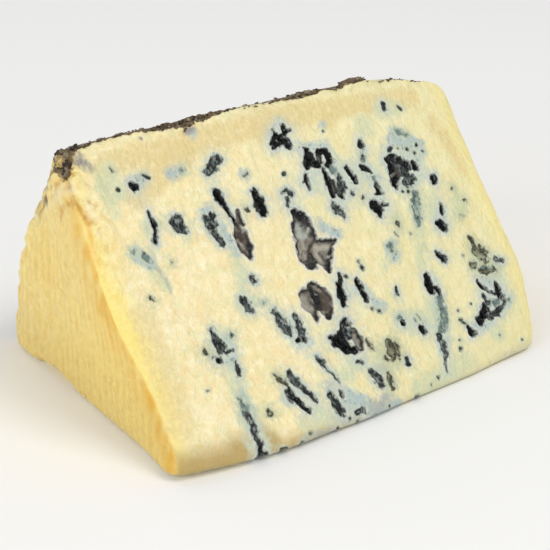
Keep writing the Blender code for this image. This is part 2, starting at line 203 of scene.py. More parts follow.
spots = {
    # deep and black
    "pit": (
        (-338, 593, 17, -335, 586, 18), (-326, 534, 4, -328, 504, 12, -332, 488, 8, -337, 473, 13),
        (-172, 536, 14, -170, 522, 22, -168, 506, 15, -162, 486, 10, -157, 470, 12),
        (-93, 514, 18, -89, 488, 28, -87, 474, 24), (4, 626, 9, 9, 614, 20, -7, 600, 16),
        (18, 608, 26, 26, 589, 15), (29, 631, 8, 28, 619, 15, 43, 620, 9), (-10, 592, 10, 8, 600, 10),
        (62, 570, 18, 60, 552, 23, 52, 539, 21), (72, 538, 22),
        (89, 562, 16, 102, 558, 20, 107, 540, 20, 96, 526, 12), (41, 526, 7, 35, 509, 16, 35, 490, 8),
        (26, 508, 8), (82, 524, 10, 81, 506, 17, 82, 486, 19, 82, 466, 14),
        (139, 512, 13, 144, 490, 17, 148, 478, 12), (196, 562, 8, 193, 548, 17),
        (174, 506, 15, 184, 498, 11, 192, 489, 8), (196, 464, 12, 194, 447, 19, 184, 442, 10),
        (166, 430, 14, 174, 412, 29, 172, 396, 14), (188, 418, 12, 199, 414, 8),
        (-19, 456, 15, -9, 444, 17), (103, 456, 12),
        (246, 508, 16, 248, 486, 26, 243, 464, 26, 235, 448, 17), (254, 510, 16, 272, 498, 17),
        (284, 490, 15, 288, 474, 15), (300, 488, 11, 304, 472, 19), (336, 444, 17, 335, 434, 18),
        (328, 384, 5, 324, 372, 13, 321, 362, 8), (303, 346, 14, 310, 334, 21),
        (271, 284, 14, 281, 272, 19), (-302, 217, 14), (-120, 206, 15), (-107, 202, 14),
        (15, 286, 12, 11, 264, 23, 8, 244, 12), (24, 304, 9, 19, 290, 10),
        (57, 282, 12, 58, 260, 18, 60, 238, 12), (-16, 199, 14, -36, 178, 32, -26, 160, 26, -10, 150, 14),
        (-6, 212, 14, 2, 202, 9), (-52, 188, 10), (-185, 118, 9, -179, 98, 14, -172, 78, 12, -164, 68, 12),
        (-100, 54, 9, -99, 46, 11), (-80, 82, 7, -81, 72, 8), (225, 250, 13, 222, 228, 23, 220, 214, 18),
        (234, 216, 13, 238, 204, 9), (124, 170, 15), (161, 150, 13, 165, 138, 14),
        (273, 116, 9, 275, 102, 15, 288, 102, 9), (306, 124, 20, 322, 131, 23, 334, 144, 13),
        (382, 188, 8, 381, 172, 17, 376, 159, 13), (338, 202, 8, 344, 188, 12, 356, 175, 8, 370, 166, 8),
        (-294, 34, 10, -298, 16, 15, -284, 12, 10),
    ),
    # hollows with a lit grey-brown floor
    "hollow": (
        (-156, 462, 14, -156, 440, 33, -155, 416, 34, -155, 394, 16), (-143, 486, 13, -145, 460, 18),
        (-17, 448, 24, -16, 420, 48, -16, 398, 52), (-19, 384, 50, -24, 364, 50, -29, 342, 28),
        (-12, 350, 26), (4, 374, 34, 30, 375, 21, 46, 376, 11), (2, 364, 42, 4, 344, 32, 7, 325, 19),
        (19, 360, 30, 16, 346, 22), (-51, 262, 26, -50, 254, 18),
        (-66, 288, 28, -64, 266, 42, -63, 246, 20, -65, 232, 10),
        (-44, 294, 28, -38, 272, 46, -35, 250, 32, -36, 233, 17), (6, 186, 18, 8, 166, 29, 3, 150, 17),
        (94, 492, 13, 93, 474, 16), (85, 554, 15, 84, 540, 12),
    ),
    # painted shadow, painted highlights, a pale island and brown on the hollows' floors
    "shade": (
        (-32, 340, 22, -15, 343, 18), (14, 389, 12, 30, 386, 14, 48, 379, 12), (-41, 392, 16, -46, 374, 9),
        (16, 342, 9, 10, 322, 13), (37, 363, 9, 26, 352, 9), (-26, 438, 12, -37, 418, 15, -39, 400, 15),
        (-6, 442, 15, 5, 422, 18, 5, 400, 18), (-16, 454, 20), (-47, 294, 13, -41, 276, 24, -37, 258, 17),
        (-62, 238, 12, -65, 228, 10), (-52, 260, 9, -49, 246, 9), (-35, 232, 14),
        (-169, 446, 12, -170, 420, 11), (-142, 414, 12, -152, 392, 13), (-154, 464, 12),
        (-4, 166, 12, -2, 150, 13), (19, 176, 10, 20, 158, 10), (-12, 366, 7, -10, 352, 7),
    ),
    "light": (
        (-16, 398, 8, -19, 376, 10, -23, 360, 8), (4, 374, 16, 24, 369, 13), (1, 360, 9, 3, 344, 9),
        (-68, 284, 13, -65, 268, 14, -61, 254, 11), (-76, 274, 9, -72, 260, 9), (8, 178, 10, 6, 160, 11),
        (-32, 390, 6, -33, 372, 7),
    ),
    "island": (
        (-17, 426, 19, -16, 409, 22),
    ),
    "brown": (
        (-22, 280, 18, -20, 266, 20, -24, 250, 18), (-12, 364, 9, -10, 350, 9),
        (-152, 450, 16, -155, 426, 28, -154, 404, 18), (260, 482, 10, 259, 466, 12),
    ),
    "glint": (
        (0, 414, 5, -1, 409, 5), (-39, 406, 5, -38, 397, 5), (-84, 276, 4, -77, 254, 5),
        (-72, 246, 4, -68, 238, 4), (-146, 456, 4, -144, 446, 4), (22, 348, 4), (-95, 496, 4, -94, 488, 4),
        (-172, 512, 4, -169, 504, 4), (250, 474, 5), (9, 606, 5), (48, 554, 4, 49, 547, 4),
        (-159, 434, 3.5, -154, 414, 4),
    ),
    # grey and black streaks
    "ash": (
        (-176, 578, 20, -144, 597, 25), (-280, 502, 28, -276, 488, 26, -269, 474, 10),
        (-215, 488, 16, -208, 474, 28), (-210, 456, 17, -202, 434, 14), (-200, 492, 15),
        (112, 496, 18, 109, 476, 23, 103, 462, 14), (129, 458, 10),
        (-32, 496, 9, -18, 501, 11, -12, 492, 9), (-26, 484, 12, -29, 466, 6),
        (73, 446, 13, 82, 432, 22, 88, 416, 10), (266, 448, 20, 286, 454, 19), (274, 484, 28, 272, 464, 24),
        (264, 498, 24, 264, 472, 26), (-10, 208, 15, -7, 186, 26), (-168, 352, 12, -163, 345, 14),
        (-205, 314, 13, -199, 299, 20, -194, 288, 12), (-147, 276, 13, -142, 254, 23, -135, 230, 20),
        (-109, 254, 13, -108, 234, 18, -106, 214, 18), (-294, 278, 14, -292, 256, 23, -287, 238, 25),
        (-282, 226, 12, -269, 228, 11), (-270, 204, 5, -272, 189, 11, -274, 178, 5),
        (-290, 106, 8, -289, 84, 12, -291, 60, 13, -293, 36, 13),
        (-170, 148, 15, -166, 134, 18, -156, 116, 13, -145, 96, 11, -139, 80, 8),
        (-190, 114, 12, -189, 102, 16), (-104, 84, 12, -102, 64, 22, -98, 44, 18),
        (-99, 162, 9, -92, 144, 11, -82, 118, 6, -74, 98, 3), (6, 96, 15, 14, 80, 21, 18, 66, 15),
        (97, 98, 11, 95, 88, 13), (199, 122, 15, 195, 102, 19, 192, 82, 14, 186, 62, 10, 181, 46, 6),
        (344, 154, 15, 337, 168, 11), (334, 122, 18, 360, 128, 15),
        (364, 128, 13, 382, 137, 12, 389, 152, 10, 382, 164, 9), (404, 234, 15, 414, 228, 8),
        (287, 623, 12, 284, 612, 9), (138, 244, 5, 137, 228, 9), (-64, 34, 10, -48, 30, 14), (256, 526, 13),
        (-16, 128, 10, -2, 122, 7),
    ),
    # blue-green veins
    "vein": (
        (274, 426, 13, 267, 402, 18, 260, 376, 17, 256, 358, 11), (168, 326, 19, 169, 316, 12),
        (232, 198, 12, 229, 176, 15, 224, 152, 19, 212, 134, 19), (-369, 453, 14, -367, 445, 11),
        (-389, 465, 11), (188, 534, 9, 183, 516, 11), (296, 558, 15, 308, 548, 12),
        (-292, 134, 10, -291, 114, 17, -294, 94, 12), (120, 183, 12), (157, 168, 8), (-255, 256, 10),
        (-162, 297, 10), (195, 476, 10), (364, 147, 17, 376, 151, 16), (369, 226, 16, 386, 218, 14),
        (104, 516, 16), (-226, 596, 8), (400, 144, 10),
    ),
    # brown-green mould
    "olive": (
        (364, 294, 8, 366, 280, 10), (368, 268, 22, 375, 254, 28, 376, 238, 16),
        (358, 220, 10, 372, 216, 16, 388, 214, 10), (343, 236, 18), (71, 144, 14, 72, 124, 23, 67, 110, 17),
        (88, 138, 12, 84, 116, 13), (52, 116, 10), (26, 160, 9, 29, 146, 11, 30, 136, 5),
        (42, 84, 9, 40, 68, 15, 36, 58, 11), (-199, 156, 7, -194, 144, 9, -187, 132, 5), (-324, 240, 12),
        (-311, 228, 8), (-389, 372, 5, -384, 364, 4.5), (370, 408, 6), (366, 346, 8), (386, 376, 5),
        (-320, 426, 5), (-123, 485, 7), (204, 369, 13), (-244, 92, 14), (147, 441, 8),
    ),
    # small dark dots
    "speck": (
        (-370, 636, 7, -368, 628, 6), (-372, 590, 7), (-309, 606, 6, -300, 598, 6), (-10, 535, 9),
        (-99, 553, 6, -91, 555, 5), (80, 319, 7), (80, 303, 11), (36, 297, 9), (66, 219, 8), (80, 209, 9),
        (322, 612, 7, 326, 604, 8), (119, 600, 6), (155, 41, 8), (240, 100, 6), (235, 81, 10),
        (264, 156, 6), (262, 137, 8, 270, 126, 5), (396, 56, 6), (248, 432, 8), (262, 429, 9),
        (326, 520, 9), (336, 504, 7), (314, 504, 9), (299, 516, 8), (278, 524, 7), (-250, 8, 9, -238, 9, 7),
        (-204, 14, 10), (-181, 26, 7), (-116, 9, 9), (-66, 12, 9), (88, 16, 8, 96, 18, 6), (132, 34, 5),
        (-350, 170, 4), (300, 162, 4), (344, 80, 5), (330, 264, 4), (188, 354, 4, 192, 344, 3),
        (166, 178, 3.5, 168, 164, 3.5), (-84, 26, 6), (14, 22, 5), (226, 340, 6),
    ),
    # pale blue bloom, no relief
    "bloom": (
        (-252, 593, 26, -228, 596, 24), (-194, 466, 20, -186, 436, 30, -178, 404, 16),
        (-208, 502, 34, -204, 456, 40), (112, 494, 34, 106, 466, 34), (28, 414, 22, 56, 386, 28),
        (169, 325, 36, 167, 310, 34), (189, 536, 20, 182, 512, 22, 194, 472, 32),
        (284, 546, 50, 326, 514, 46), (258, 490, 60, 264, 454, 60), (302, 488, 36),
        (272, 420, 24, 260, 370, 28), (-270, 246, 26, -276, 218, 36), (-286, 146, 18, -292, 80, 30),
        (74, 234, 28, 92, 216, 26), (-70, 68, 44, -40, 48, 40), (228, 180, 28, 214, 136, 34, 192, 90, 30),
        (340, 132, 40, 386, 142, 30), (-386, 462, 30, -364, 436, 30), (-330, 596, 34, -310, 602, 26),
        (26, 634, 30, 6, 610, 44), (56, 570, 34, 106, 562, 38), (-168, 136, 30, -148, 100, 24),
        (-190, 106, 34), (-130, 228, 40, -110, 204, 34), (164, 154, 34), (122, 178, 28), (-96, 556, 24),
        (124, 614, 18), (-18, 412, 20), (406, 228, 24, 372, 218, 28), (382, 174, 32),
        (360, 236, 30, 358, 196, 30, 366, 152, 34), (318, 118, 36, 290, 114, 26), (316, 360, 26),
        (80, 436, 34), (-18, 494, 26), (308, 342, 32), (334, 440, 30), (12, 80, 34), (-90, 52, 40),
        (12, 262, 36), (58, 258, 34), (137, 234, 18), (-30, 16, 30, 40, 22, 24), (-174, 664, 22),
        (96, 92, 24), (224, 230, 40),
    ),
    # grey-lilac bloom beside the crust
    "lilac": (
        (-426, 666, 28, -414, 650, 20), (-186, 668, 13, -170, 672, 13), (-286, 678, 10),
    ),
    # grey haze on the front roll
    "haze": (
        (-104, 34, 30, -50, 24, 36, 10, 36, 34), (26, 84, 46, 36, 70, 34), (-134, 16, 24),
        (-10, 214, 16, -8, 188, 26), (-100, 106, 22, -86, 74, 30),
        (-354, 430, 9, -344, 400, 10, -343, 368, 7), (-206, 18, 14, -156, 18, 16),
    ),
    # creases of orange-brown paste beside the upper left corner, and pale and green folds between
    "crease": (
        (-492, 624, 5, -478, 639, 7, -462, 646, 9, -448, 643, 11),
        (-488, 606, 6, -466, 596, 8, -459, 570, 9, -452, 548, 14, -439, 538, 8),
        (-436, 584, 6, -428, 570, 5),
    ),
    "pale": (
        (-466, 624, 26, -452, 616, 22), (-444, 576, 24, -436, 554, 18), (-442, 516, 16),
    ),
    "fold": (
        (-418, 644, 12, -404, 626, 14, -396, 600, 13, -394, 576, 10), (-339, 500, 34), (-319, 504, 22),
        (202, 384, 16, 210, 354, 14), (373, 410, 26, 378, 392, 22), (369, 354, 28, 348, 344, 22),
        (246, 304, 16),
    ),
    # deeper, peachy paste
    "tan": (
        (-380, 644, 50, -200, 644, 60, 0, 650, 60, 200, 640, 50, 360, 626, 50),
        (-340, 570, 60, -220, 620, 60), (-30, 630, 40), (140, 620, 40), (390, 560, 40, 420, 440, 30),
    ),
    # duller paste low at the left
    "dun": (
        (-430, 130, 70, -425, 200, 80, -420, 340, 60),
    ),
    # faint green-grey staining
    "veil": (
        (-362, 416, 36, -350, 384, 28), (-184, 396, 34, -194, 336, 34), (-200, 306, 54), (369, 368, 48),
        (280, 616, 50, 324, 606, 36), (304, 386, 60, 308, 340, 50), (160, 160, 60, 126, 174, 50),
        (206, 386, 24, 202, 356, 24), (248, 340, 34, 226, 280, 36), (64, 124, 64, 26, 80, 54),
        (-380, 630, 46, -374, 586, 44), (-332, 506, 28, -332, 484, 24), (240, 50, 50, 100, 34, 50),
        (-126, 50, 54, -176, 50, 46), (220, 590, 54), (370, 260, 54, 380, 196, 50),
        (-280, 250, 56, -288, 120, 42, -294, 40, 50), (80, 506, 90, 146, 494, 70), (280, 490, 110),
        (136, 294, 30), (-244, 92, 28), (-404, 604, 30, -394, 546, 30), (340, 84, 40), (204, 174, 50),
        (-10, 126, 40, -60, 110, 36),
    ),
}


def srgb(red, green, blue):
    def linear(value):
        value /= 255
        return value / 12.92 if value <= 0.04045 else ((value + 0.055) / 1.055) ** 2.4
    return (linear(red), linear(green), linear(blue))


# Stain and amount tint the paste. Depth is a share of the spot's width, black the share of dark
# streaks, ragged how torn the edge is, lip the pale rim (a painted highlight on the raised lip), and
# reach how far the pale stain round it runs in millimetres. Rim, floor and fold are a pocket's tones at
# its edge, inside and on its folds: the rim is partly painted shade, the fold painted light. Paint goes
# on the hollows' floors. The order is the order of painting.
moulds = {
    "tan": dict(stain=srgb(225, 205, 144), amount=0.72),
    "dun": dict(stain=srgb(228, 208, 146), amount=0.50),
    "veil": dict(stain=srgb(206, 213, 174), amount=0.65),
    "fold": dict(stain=srgb(198, 204, 160), amount=0.62),
    "bloom": dict(stain=srgb(165, 187, 192), amount=0.92, dusty=True),
    "haze": dict(stain=srgb(170, 174, 168), amount=0.80),
    "lilac": dict(stain=srgb(142, 136, 136), amount=0.92),
    "pale": dict(stain=srgb(248, 236, 200), amount=0.55),
    "crease": dict(stain=srgb(204, 150, 62), amount=0.72, groove=0.45),
    "hollow": dict(depth=0.42, trench=0.5, black=0.10, ragged=0.35, lip=1.0, rim=srgb(34, 29, 24),
                   floor=srgb(139, 132, 118), fold=srgb(164, 158, 144), folds=(0.10, 0.50),
                   stain=srgb(214, 214, 198), amount=0.80, reach=0.5),
    "vein": dict(depth=0.16, trench=0.0, black=0.36, ragged=1.3, lip=0.0, rim=srgb(118, 137, 130),
                 floor=srgb(116, 140, 136), fold=srgb(174, 186, 160), folds=(0.0, 0.4),
                 stain=srgb(188, 199, 174), amount=0.88, reach=0.9),
    "ash": dict(depth=0.36, trench=0.2, black=0.50, ragged=1.0, lip=0.4, rim=srgb(44, 50, 48),
                floor=srgb(104, 114, 110), fold=srgb(156, 166, 160), folds=(0.0, 0.35),
                stain=srgb(192, 204, 192), amount=0.90, reach=1.0),
    "olive": dict(depth=0.32, trench=0.2, black=0.34, ragged=1.3, lip=0.2, rim=srgb(70, 68, 48),
                  floor=srgb(151, 152, 120), fold=srgb(172, 174, 142), folds=(0.0, 0.4),
                  stain=srgb(190, 194, 158), amount=0.90, reach=0.9),
    "pit": dict(depth=0.80, trench=0.0, black=0.78, ragged=0.8, lip=0.6, rim=srgb(20, 22, 21),
                floor=srgb(76, 82, 78), fold=srgb(148, 154, 148), folds=(0.10, 0.40),
                stain=srgb(194, 205, 195), amount=0.90, reach=1.0),
    "speck": dict(depth=0.30, trench=0.0, black=0.60, ragged=0.6, lip=0.1, rim=srgb(60, 70, 60),
                  floor=srgb(74, 84, 72), fold=srgb(90, 100, 88), folds=(0.2, 0.5),
                  stain=srgb(200, 206, 180), amount=0.75, reach=0.5),
    # paints for the hollows' floors: light is painted light on their ridges, shade a painted shadow and the
    # glints small painted highlights; island and brown are the floors' own colours
    "light": dict(paint=srgb(190, 184, 168), black=0.0, share=0.9),
    "island": dict(paint=srgb(194, 198, 188), black=0.0, share=1.0),
    "brown": dict(paint=srgb(76, 62, 50), black=0.1, share=0.85),
    "shade": dict(paint=srgb(24, 20, 17), black=0.6, share=0.95),
    "glint": dict(paint=srgb(226, 224, 212), black=-0.6, share=1.0),
}

# sizes and heights in millimetres
relief = {
    "warp": ((2.4, 0.45), (0.9, 0.40)),      # (size, push) of the noise that makes outlines ragged
    "margin": 4.5,      # how far past a spot its stain and warp can reach
    "fold": (1.1, 0.35),      # folds in a pocket's floor: size and share of the depth
    "crease": (2.6, 0.07, 0.25),      # creases across a hollow's floor: size, width and depth
    "trench": (0.40, 0.25),      # a trench inside a pocket's edge: distance in and width
    "lip": (0.35, 0.3, 0.10),      # the raised lip: distance out, width and height
    "cuts": ((-9.0, 0.8, 2.8), (-0.7, 0.25, 1.2)),      # outline from and to, and the width along the crust
    "drag": 0.09,      # drag marks up the cut face
    "dimple": (3.4, 0.16),      # size and height
    "swell": (14.0, 0.38),
    "ridge": (2.3, 0.07),      # cloth ridges on the ends: gap and height
    "melt": (2.4, 1.1, 0.2),      # melted paste by the arris: size, height and lift
    "meltGroove": 0.45,
    "rollGroove": 0.2,
    "lumps": ((1.8, 12.0, 1.0), (0.8, 13.0, 0.7)),      # lumps of rind: size, seed and share
    "lump": (0.30, 0.15),      # their height, and how far they are sunk
}

# the crust along the top edge: place along the wedge, thickness on the cut face, lift above it
crustKeys = (
    (-50, 4.6, -0.3), (-45, 3.8, -0.5), (-42, 2, -0.9), (-39, 0.9, -0.8), (-33, 0.7, -0.4),
    (-28.5, 1.1, -0.6), (-26, 0.9, -1), (-23.5, 1.9, -0.9), (-20.5, 1.6, -1), (-17.5, 2.8, -0.7),
    (-13, 2, -0.5), (-9, 0.8, -0.5), (-3, 0.6, -0.8), (1, 0.6, -1.1), (5, 0.8, -1),
    (8, 1.5, -0.6), (13, 1.6, -0.3), (16.5, 1, -0.6), (18.6, 1.1, -1.1), (20.2, 1.2, -1.1),
    (21, 1, 0.3), (23, 0.9, 0.7), (25.5, 0.8, 0.7), (27.5, 0.5, -0.5), (30.5, 0.3, -1),
    (33, 0.8, -0.6), (40, 0.8, -0.3), (42.5, 0.1, 0), (50, 0, 0),
)

crust = {
    "ragged": ((1.6, 21.0, 0.7), (0.7, 5.0, 0.5)),      # noise along its edges: size, seed and share
    "thinnest": 0.05,
    "innerRadius": 55,      # nothing nearer the wheel's centre line is rind
    "overRim": (1.2, 2.6),      # how far the crust runs over the rim onto the rind
    "corner": (-47.6, 67.0),      # its thick corner: place along and distance up
    "cornerReach": (2.6, 5.0),
    "liftReach": 1.8,
    "browned": (-47.1, 67.2),
    "brownedReach": (3.5, 6.0),
}

# the upper left arris, as (distance up the face, place along)
arrisLine = ((0, -47.4), (20, -47.2), (34, -47), (44, -46.6), (50, -46), (55, -45.3),
             (59, -46.2), (63, -47.4), (70, -48))

# where the face begins to roll under at the front, as (place along, distance up the face)
rollLine = ((-50, 10.5), (-46, 9.8), (-41.5, 9.2), (-36.5, 8.8), (-31.5, 9.8), (-27.5, 11),
            (-24, 6), (0, 4), (30, 4.5), (50, 6.5))

# the orange line under the arris, as (distance up the face, strength)
warmLine = ((0, 0.35), (36, 0.45), (46, 0.9), (54, 0.6), (59, 0.15), (68, 0.0))

# orange stains on the ends: place, size and strength
warmSpots = (
    ((-47, 28, 34), 6, 0.7), ((-47, 22, 26), 6, 0.35), ((-47, 10, 12), 7, 0.3),
    ((-47, 2, 4), 8, 0.4), ((-47, 52, 24), 3, 0.6), ((-46, 36, 42), 5, 0.1),
    ((40, 5, 6), 3, 0.6), ((42, 4, 3), 3, 0.6), ((46, 30, 36), 5, 0.5),
)

edges = {
    "ends": (-46.5, 45.5),      # where the ends begin, along the wedge
    "drift": ((7.0, 31.0, 1.6), (2.5, 33.0, 0.7)),      # how the lines wander: size, seed and push
    "creaseWidth": 0.55,
    "arrisWidth": 2.4,
    "arrisRight": 0.35,      # its strength on the right
    "warmWidth": 5.5,
    "warmRight": 0.5,
    # the painted shade on the front roll
    "rollShadeWidth": 5.0,
    "rollShadeLeft": 0.24,      # the painted shade's strength low on the left end, darker towards the floor
    "meltWidth": 2.6,
    "cool": (-30, 34),      # the paste turns cooler between these places along the wedge
}

flakes = {
    "size": (0.5, 2.2, 9.0),      # outwards in millimetres, round in degrees, and along
    "radius": 67.8,
    "reach": (1.4, 2.6),
    "angles": (26, 38),
}


def noiseField(points, size, seed=0.0):
    return np.array([noise.noise(p) for p in (points / size + seed).tolist()])


def noiseVectors(points, size, seed=0.0):
    return np.array([noise.noise_vector(p) for p in (points / size + seed).tolist()])


def noiseSum(points, layers):
    return sum(noiseField(points, size, seed) * share for size, seed, share in layers)


def ramp(low, high, value):
    share = np.clip((value - low) / (high - low), 0.0, 1.0)
    return share * share * (3 - 2 * share)


def bell(value, width):
    return np.exp(-(value / width) ** 2)


def around(points, place, size):
    # 1 at the place, fading out over the size
    return np.exp(-(((points - np.array(place)) / size) ** 2).sum(1))


def keyed(keys, at, column=1):
    # a column of the keys, between the places in their first column
    table = np.array(keys)
    return np.interp(at, table[:, 0], table[:, column])


def blend(field, index, wanted, share):
    field[index] += (np.array(wanted) - field[index]) * share


def vertexArrays(mesh):
    count = len(mesh.vertices)
    points = np.empty(count * 3)
    normals = np.empty(count * 3)
    mesh.vertices.foreach_get("co", points)
    mesh.vertex_normals.foreach_get("vector", normals)
    return points.reshape(-1, 3), normals.reshape(-1, 3)


def placedSpots(tree):
    # each spot as its kind, the rounds' centres on the rounded wedge, their radii and the outward axis
    placed = []
    for kind in moulds:
        for stroke in spots[kind]:
            lengths = [tenths / 10 for tenths in stroke]
            centres = []
            for x, climb in zip(lengths[::3], lengths[1::3]):
                flat = facePlace(x, climb)
                hit = tree.ray_cast(Vector(flat + offFace * 12), Vector(-offFace))[0]
                centres.append(np.array(hit if hit is not None else tree.find_nearest(Vector(flat))[0]))
            placed.append((kind, centres, [width / 2 for width in lengths[2::3]], offFace))
    return placed + underSpots()


# pockets of the underside, strewn at random
under = {
    "count": 8,
    "sizes": (2.6, 5.5),
    "stretch": (0.9, 1.6),
    "hollowFrom": 4.2,      # wider ones are hollows
    "clear": 12.0,      # round the middle
    "margin": 12.0,      # from the edges
    "seed": 11,
}


def underSpots():
    rng = random.Random(under["seed"])
    half = wedge["height"] / 2 - under["margin"]
    centres = [(Vector((*wedge["middle"], 0)), under["clear"])]
    placed = []
    while len(placed) < under["count"]:
        x = rng.uniform(-half, half)
        y = rng.uniform(under["margin"], wedge["radius"] - under["margin"])
        width = rng.uniform(*under["sizes"])
        length = width * rng.uniform(*under["stretch"])
        turn = rng.uniform(0, math.pi)
        centre = Vector((x, y, 0))
        if any((centre - other).length < gap + length for other, gap in centres):
            continue
        centres.append((centre, length))
        halfRun = Vector((math.sin(turn), -math.cos(turn), 0)) * max(length - width, 0.1) / 2
        ends = [np.array(centre - halfRun), np.array(centre + halfRun)]
        kind = "hollow" if width > under["hollowFrom"] else "pit"
        placed.append((kind, ends, [width / 2] * 2, np.array((0, 0, -1.0))))
    return placed


def strokeDistance(local, centres, radii):
    # signed distance to a stroke of rounds, and the half width there
    away = np.full(len(local), 99.0)
    half = np.ones(len(local))
    for index in range(max(len(centres) - 1, 1)):
        following = min(index + 1, len(centres) - 1)
        start = centres[index]
        run = centres[following] - start
        share = np.clip((local - start) @ run / (run @ run + 1e-9), 0, 1)
        radius = radii[index] + (radii[following] - radii[index]) * share
        here = np.linalg.norm(local - start - share[:, None] * run, axis=1) - radius
        closer = here < away
        half[closer] = radius[closer]
        away = np.minimum(away, here)
    return away, half


def paintFloor(fields, index, mould, away):
    share = mould["share"] * (1 - ramp(-0.4, 0.3, away))
    blend(fields["mouldToneAndShading"], index, mould["paint"], share[:, None])
    blend(fields["black"], index, mould["black"], share)


def addStain(fields, index, mould, away, radius):
    if "depth" in mould:
        strength = mould["amount"] * np.exp(-np.maximum(away, 0) / mould["reach"])
    else:
        soft = min(radius, 1.3) / 1.3      # small stains have narrower edges
        strength = mould["amount"] * (1 - ramp(-1.3 * soft, 1.0 * soft, away))
        groove = mould.get("groove", 0.0) * (1 - ramp(-0.2, 0.5, away))
        fields["depth"][index] = np.maximum(fields["depth"][index], groove)
    amount = fields["stainAmount"][index]
    share = strength / (strength + amount * (1 - strength) + 1e-6)
    blend(fields["stainTone"], index, mould["stain"], share[:, None])
    fields["stainAmount"][index] = 1 - (1 - amount) * (1 - strength)
    if "depth" in mould or mould.get("dusty"):
        fields["dust"][index] = np.maximum(fields["dust"][index], strength)


def sinkPocket(fields, index, mould, away, half, fold, crease):
    inside = -away
    fromEdge, width = relief["trench"]
    bowl = ramp(0.0, 0.9, inside / half)
    trench = mould["trench"] * bell(inside - fromEdge, width) * ramp(0.6, 1.6, half)
    sunk = mould["depth"] * half * 2 * bowl * (1 - relief["fold"][1] * fold)
    sunk += trench + relief["crease"][2] * crease * bowl * ramp(0.8, 1.6, half)
    sunk *= ramp(-0.05, 0.12, inside)
    fields["depth"][index] = np.maximum(fields["depth"][index], sunk)

    # darker at the rim, partly the mould's own colour and partly painted shade under the overhanging edge;
    # painted shade in the creases and painted light on the folds
    floor = ramp(0.25, 0.85, inside) * (1 - 0.7 * crease)
    rim = np.array(mould["rim"])
    tone = rim + (np.array(mould["floor"]) - rim) * floor[:, None]
    lit = ramp(*mould["folds"], fold) * ramp(0.15, 0.5, inside) * (1 - 0.8 * crease)
    tone += (np.array(mould["fold"]) - tone) * lit[:, None]

    # where two pockets meet, the first one keeps what is well inside it
    already = ramp(0.1, -0.3, fields["outline"][index])
    nearer = (away < fields["outline"][index]) * (1 - already)
    owner = np.maximum(nearer, ramp(-0.2, 0.4, inside))
    blend(fields["mouldToneAndShading"], index, tone, owner[:, None])
    for name in ("black", "ragged", "lip"):
        blend(fields[name], index, mould[name], owner)
    fields["outline"][index] = np.minimum(fields["outline"][index], away)


def mouldFields(points, placed):
    count = len(points)
    fields = {name: np.zeros(count) for name in ("depth", "black", "lip", "dust", "stainAmount")}
    fields["outline"] = np.full(count, 9.0)
    fields["ragged"] = np.ones(count)
    fields["mouldToneAndShading"] = np.zeros((count, 3))
    fields["stainTone"] = np.ones((count, 3))
    warp = sum(noiseVectors(points, size, 3.7) * push for size, push in relief["warp"])
    fold = noiseField(points, relief["fold"][0], 9.1)
    size, width, _ = relief["crease"]
    crease = bell(noiseField(points, size, 4.3), width)
    for kind, centres, radii, outward in placed:
        mould = moulds[kind]
        reach = max(radii) + relief["margin"]
        low = np.min(centres, axis=0) - reach
        high = np.max(centres, axis=0) + reach
        index = np.nonzero(((points > low) & (points < high)).all(1))[0]
        bend = min(max(max(radii) / 1.1, 0.4), 1.0)      # small spots are bent less
        local = points[index] + warp[index] * bend
        local -= np.outer((local - centres[0]) @ outward, outward)
        flat = [centre - outward * ((centre - centres[0]) @ outward) for centre in centres]
        away, half = strokeDistance(local, flat, radii)
        if "paint" in mould:
            paintFloor(fields, index, mould, away)
            continue
        addStain(fields, index, mould, away, max(radii))
        if "depth" in mould:
            sinkPocket(fields, index, mould, away, half, fold[index], crease[index])
    return fields


def topEdge(points):
    # how far up the face the cut reaches, along the wedge
    rows = np.arange(-50, 51, 1.0)
    climb = points @ upFace
    reach = []
    for row in rows:
        near = (np.abs(points[:, 0] - row) < 1.2) & (points @ offFace > -3.0)
        reach.append(climb[near].max() if near.any() else np.nan)
    reach = np.array(reach)
    known = ~np.isnan(reach)
    return rows[known], reach[known]


def crustFields(points, normals, edge):
    # the dark crust beside the rim, the rind, the rim's lift, the upper cut face, and the distance
    # down from the rim
    x = points[:, 0]
    below = np.interp(x, *edge) - points @ upFace
    onCut = ramp(0.3, 0.7, normals @ offFace)
    radial = points * (0, 1, 1)
    away = np.linalg.norm(radial, axis=1)
    radial /= away[:, None] + 1e-6
    onRind = ramp(0.80, 0.93, (normals * radial).sum(1)) * (away > crust["innerRadius"])

    thickness = keyed(crustKeys, x)
    present = thickness > crust["thinnest"]
    ragged = noiseSum(points, crust["ragged"])
    band = ramp(-0.25, 0.25, thickness * (1 + 0.7 * ragged) - below) * onCut * present
    deep = -(points @ offFace)      # how far under the upper cut face
    band = np.maximum(band, onRind * (1 - ramp(*crust["overRim"], deep + 1.5 * ragged)) * present)
    fromCorner = np.linalg.norm(points - facePlace(*crust["corner"]), axis=1)
    band = np.maximum(band, 1 - ramp(*crust["cornerReach"], fromCorner + 2.4 * ragged))
    lift = keyed(crustKeys, x, 2) * bell(below, crust["liftReach"])
    return {"crust": band, "rind": onRind, "lift": lift, "onCut": onCut, "below": below}


